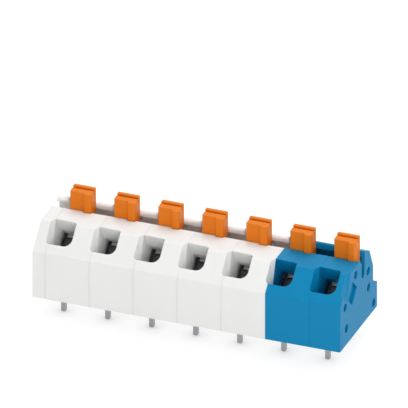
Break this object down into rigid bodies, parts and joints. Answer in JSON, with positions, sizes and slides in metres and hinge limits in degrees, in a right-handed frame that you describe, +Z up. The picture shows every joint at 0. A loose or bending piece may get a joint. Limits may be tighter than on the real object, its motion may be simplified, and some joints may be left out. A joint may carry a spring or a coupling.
{
  "type": "pcb terminal block",
  "caption": "Spring-clamp board terminal row: pegged white and blue housings with slanted wire funnels, orange release buttons along the top and solder pins below.",
  "frame": {"origin": "centre of the row at the level of the pin tips, on which the part stands", "axes": "+X along the row to the right as seen from the wire side, +Y away from the wire side, +Z up"},
  "size_m": [0.035, 0.011, 0.0129],
  "materials": {
    "white_polyamide": "fine matt moulding",
    "blue_polyamide": "fine matt moulding",
    "orange_polyamide": "fine matt moulding",
    "spring_steel": "rolled strip",
    "tinned_copper": "matt tin plating"
  },
  "bodies": {
    "terminal_row": {"end_plate": "white_polyamide", "housing_1": "white_polyamide", "housing_2": "white_polyamide", "housing_3": "white_polyamide", "housing_4": "white_polyamide", "housing_5": "white_polyamide", "housing_6": "blue_polyamide", "housing_7": "blue_polyamide", "clamp_spring_1": "spring_steel", "clamp_spring_2": "spring_steel", "clamp_spring_3": "spring_steel", "clamp_spring_4": "spring_steel", "clamp_spring_5": "spring_steel", "clamp_spring_6": "spring_steel", "clamp_spring_7": "spring_steel", "current_bar_1": "tinned_copper", "current_bar_2": "tinned_copper", "current_bar_3": "tinned_copper", "current_bar_4": "tinned_copper", "current_bar_5": "tinned_copper", "current_bar_6": "tinned_copper", "current_bar_7": "tinned_copper"},
    "push_button_1": {"button_1": "orange_polyamide"},
    "push_button_2": {"button_2": "orange_polyamide"},
    "push_button_3": {"button_3": "orange_polyamide"},
    "push_button_4": {"button_4": "orange_polyamide"},
    "push_button_5": {"button_5": "orange_polyamide"},
    "push_button_6": {"button_6": "orange_polyamide"},
    "push_button_7": {"button_7": "orange_polyamide"}
  },
  "joints": [
    {"name": "button_1_press", "type": "slide", "parent": "terminal_row", "child": "push_button_1", "axis": [0, 0, -1], "range_m": [0, 0.0013], "stiffness_N_per_m": 800, "springref_m": -0.002, "deforming": ["clamp_spring_1"]},
    {"name": "button_2_press", "type": "slide", "parent": "terminal_row", "child": "push_button_2", "axis": [0, 0, -1], "range_m": [0, 0.0013], "stiffness_N_per_m": 800, "springref_m": -0.002, "deforming": ["clamp_spring_2"]},
    {"name": "button_3_press", "type": "slide", "parent": "terminal_row", "child": "push_button_3", "axis": [0, 0, -1], "range_m": [0, 0.0013], "stiffness_N_per_m": 800, "springref_m": -0.002, "deforming": ["clamp_spring_3"]},
    {"name": "button_4_press", "type": "slide", "parent": "terminal_row", "child": "push_button_4", "axis": [0, 0, -1], "range_m": [0, 0.0013], "stiffness_N_per_m": 800, "springref_m": -0.002, "deforming": ["clamp_spring_4"]},
    {"name": "button_5_press", "type": "slide", "parent": "terminal_row", "child": "push_button_5", "axis": [0, 0, -1], "range_m": [0, 0.0013], "stiffness_N_per_m": 800, "springref_m": -0.002, "deforming": ["clamp_spring_5"]},
    {"name": "button_6_press", "type": "slide", "parent": "terminal_row", "child": "push_button_6", "axis": [0, 0, -1], "range_m": [0, 0.0013], "stiffness_N_per_m": 800, "springref_m": -0.002, "deforming": ["clamp_spring_6"]},
    {"name": "button_7_press", "type": "slide", "parent": "terminal_row", "child": "push_button_7", "axis": [0, 0, -1], "range_m": [0, 0.0013], "stiffness_N_per_m": 800, "springref_m": -0.002, "deforming": ["clamp_spring_7"]}
  ]
}
